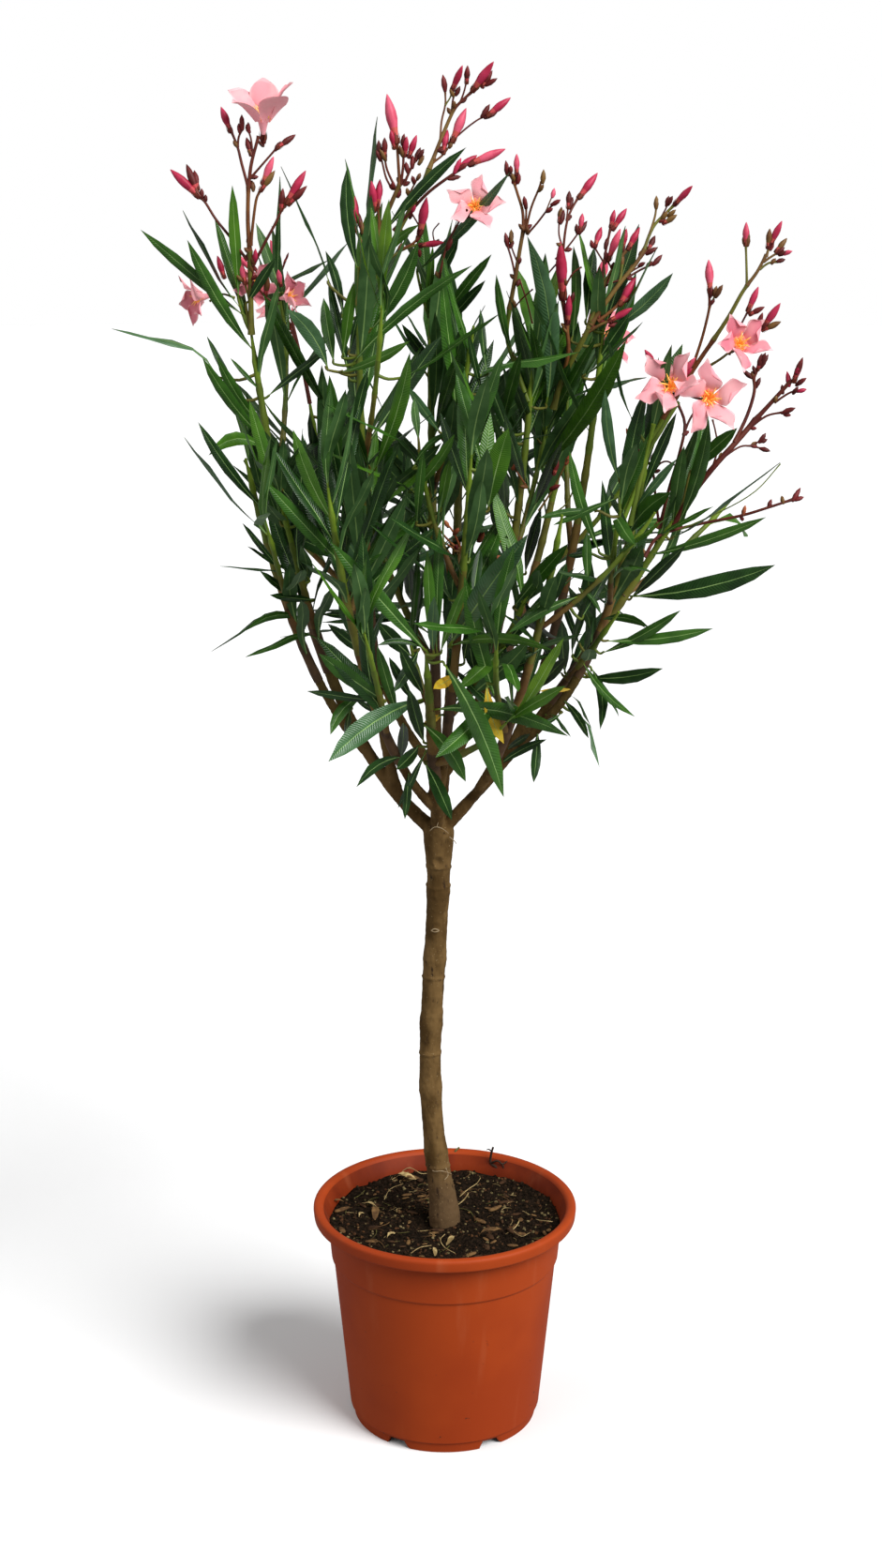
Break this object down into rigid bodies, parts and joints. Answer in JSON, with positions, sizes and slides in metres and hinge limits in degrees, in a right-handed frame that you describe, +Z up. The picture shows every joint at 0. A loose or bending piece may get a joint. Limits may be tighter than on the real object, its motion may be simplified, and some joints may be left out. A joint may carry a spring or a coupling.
{
  "type": "potted oleander standard",
  "caption": "Small flowering shrub grown as a standard: a bare upright trunk with a leafy, blossoming crown, rooted in a round plastic nursery pot of soil.",
  "frame": {"origin": "centre of the pot's flat underside", "axes": "+Z up along the trunk, +X to the right and -Y towards the viewer of the pictured side"},
  "size_m": [0.5447, 0.4439, 1.2048],
  "materials": {
    "pot_plastic": "satin",
    "potting_soil": "matte",
    "bark": "matte",
    "foliage": "satin"
  },
  "bodies": {
    "root": {"pot": "pot_plastic", "potting_soil": "potting_soil", "trunk": "bark", "bough_west": "bark", "bough_front": "bark", "bough_centre": "bark", "bough_east": "bark", "bough_north": "bark", "bough_west_low": "bark", "bough_centre_west": "bark", "bough_south_west": "bark", "bough_south": "bark", "bough_south_east": "bark", "bough_centre_east": "bark", "bough_east_upper": "bark", "bough_east_high": "bark", "bough_north_east": "bark", "bough_north_west": "bark", "foliage_west": "foliage", "foliage_front": "foliage", "foliage_centre": "foliage", "foliage_east": "foliage", "foliage_north": "foliage", "foliage_west_low": "foliage", "foliage_centre_west": "foliage", "foliage_south_west": "foliage", "foliage_south": "foliage", "foliage_south_east": "foliage", "foliage_centre_east": "foliage", "foliage_east_upper": "foliage", "foliage_east_high": "foliage", "foliage_north_east": "foliage", "foliage_north_west": "foliage"}
  },
  "joints": []
}
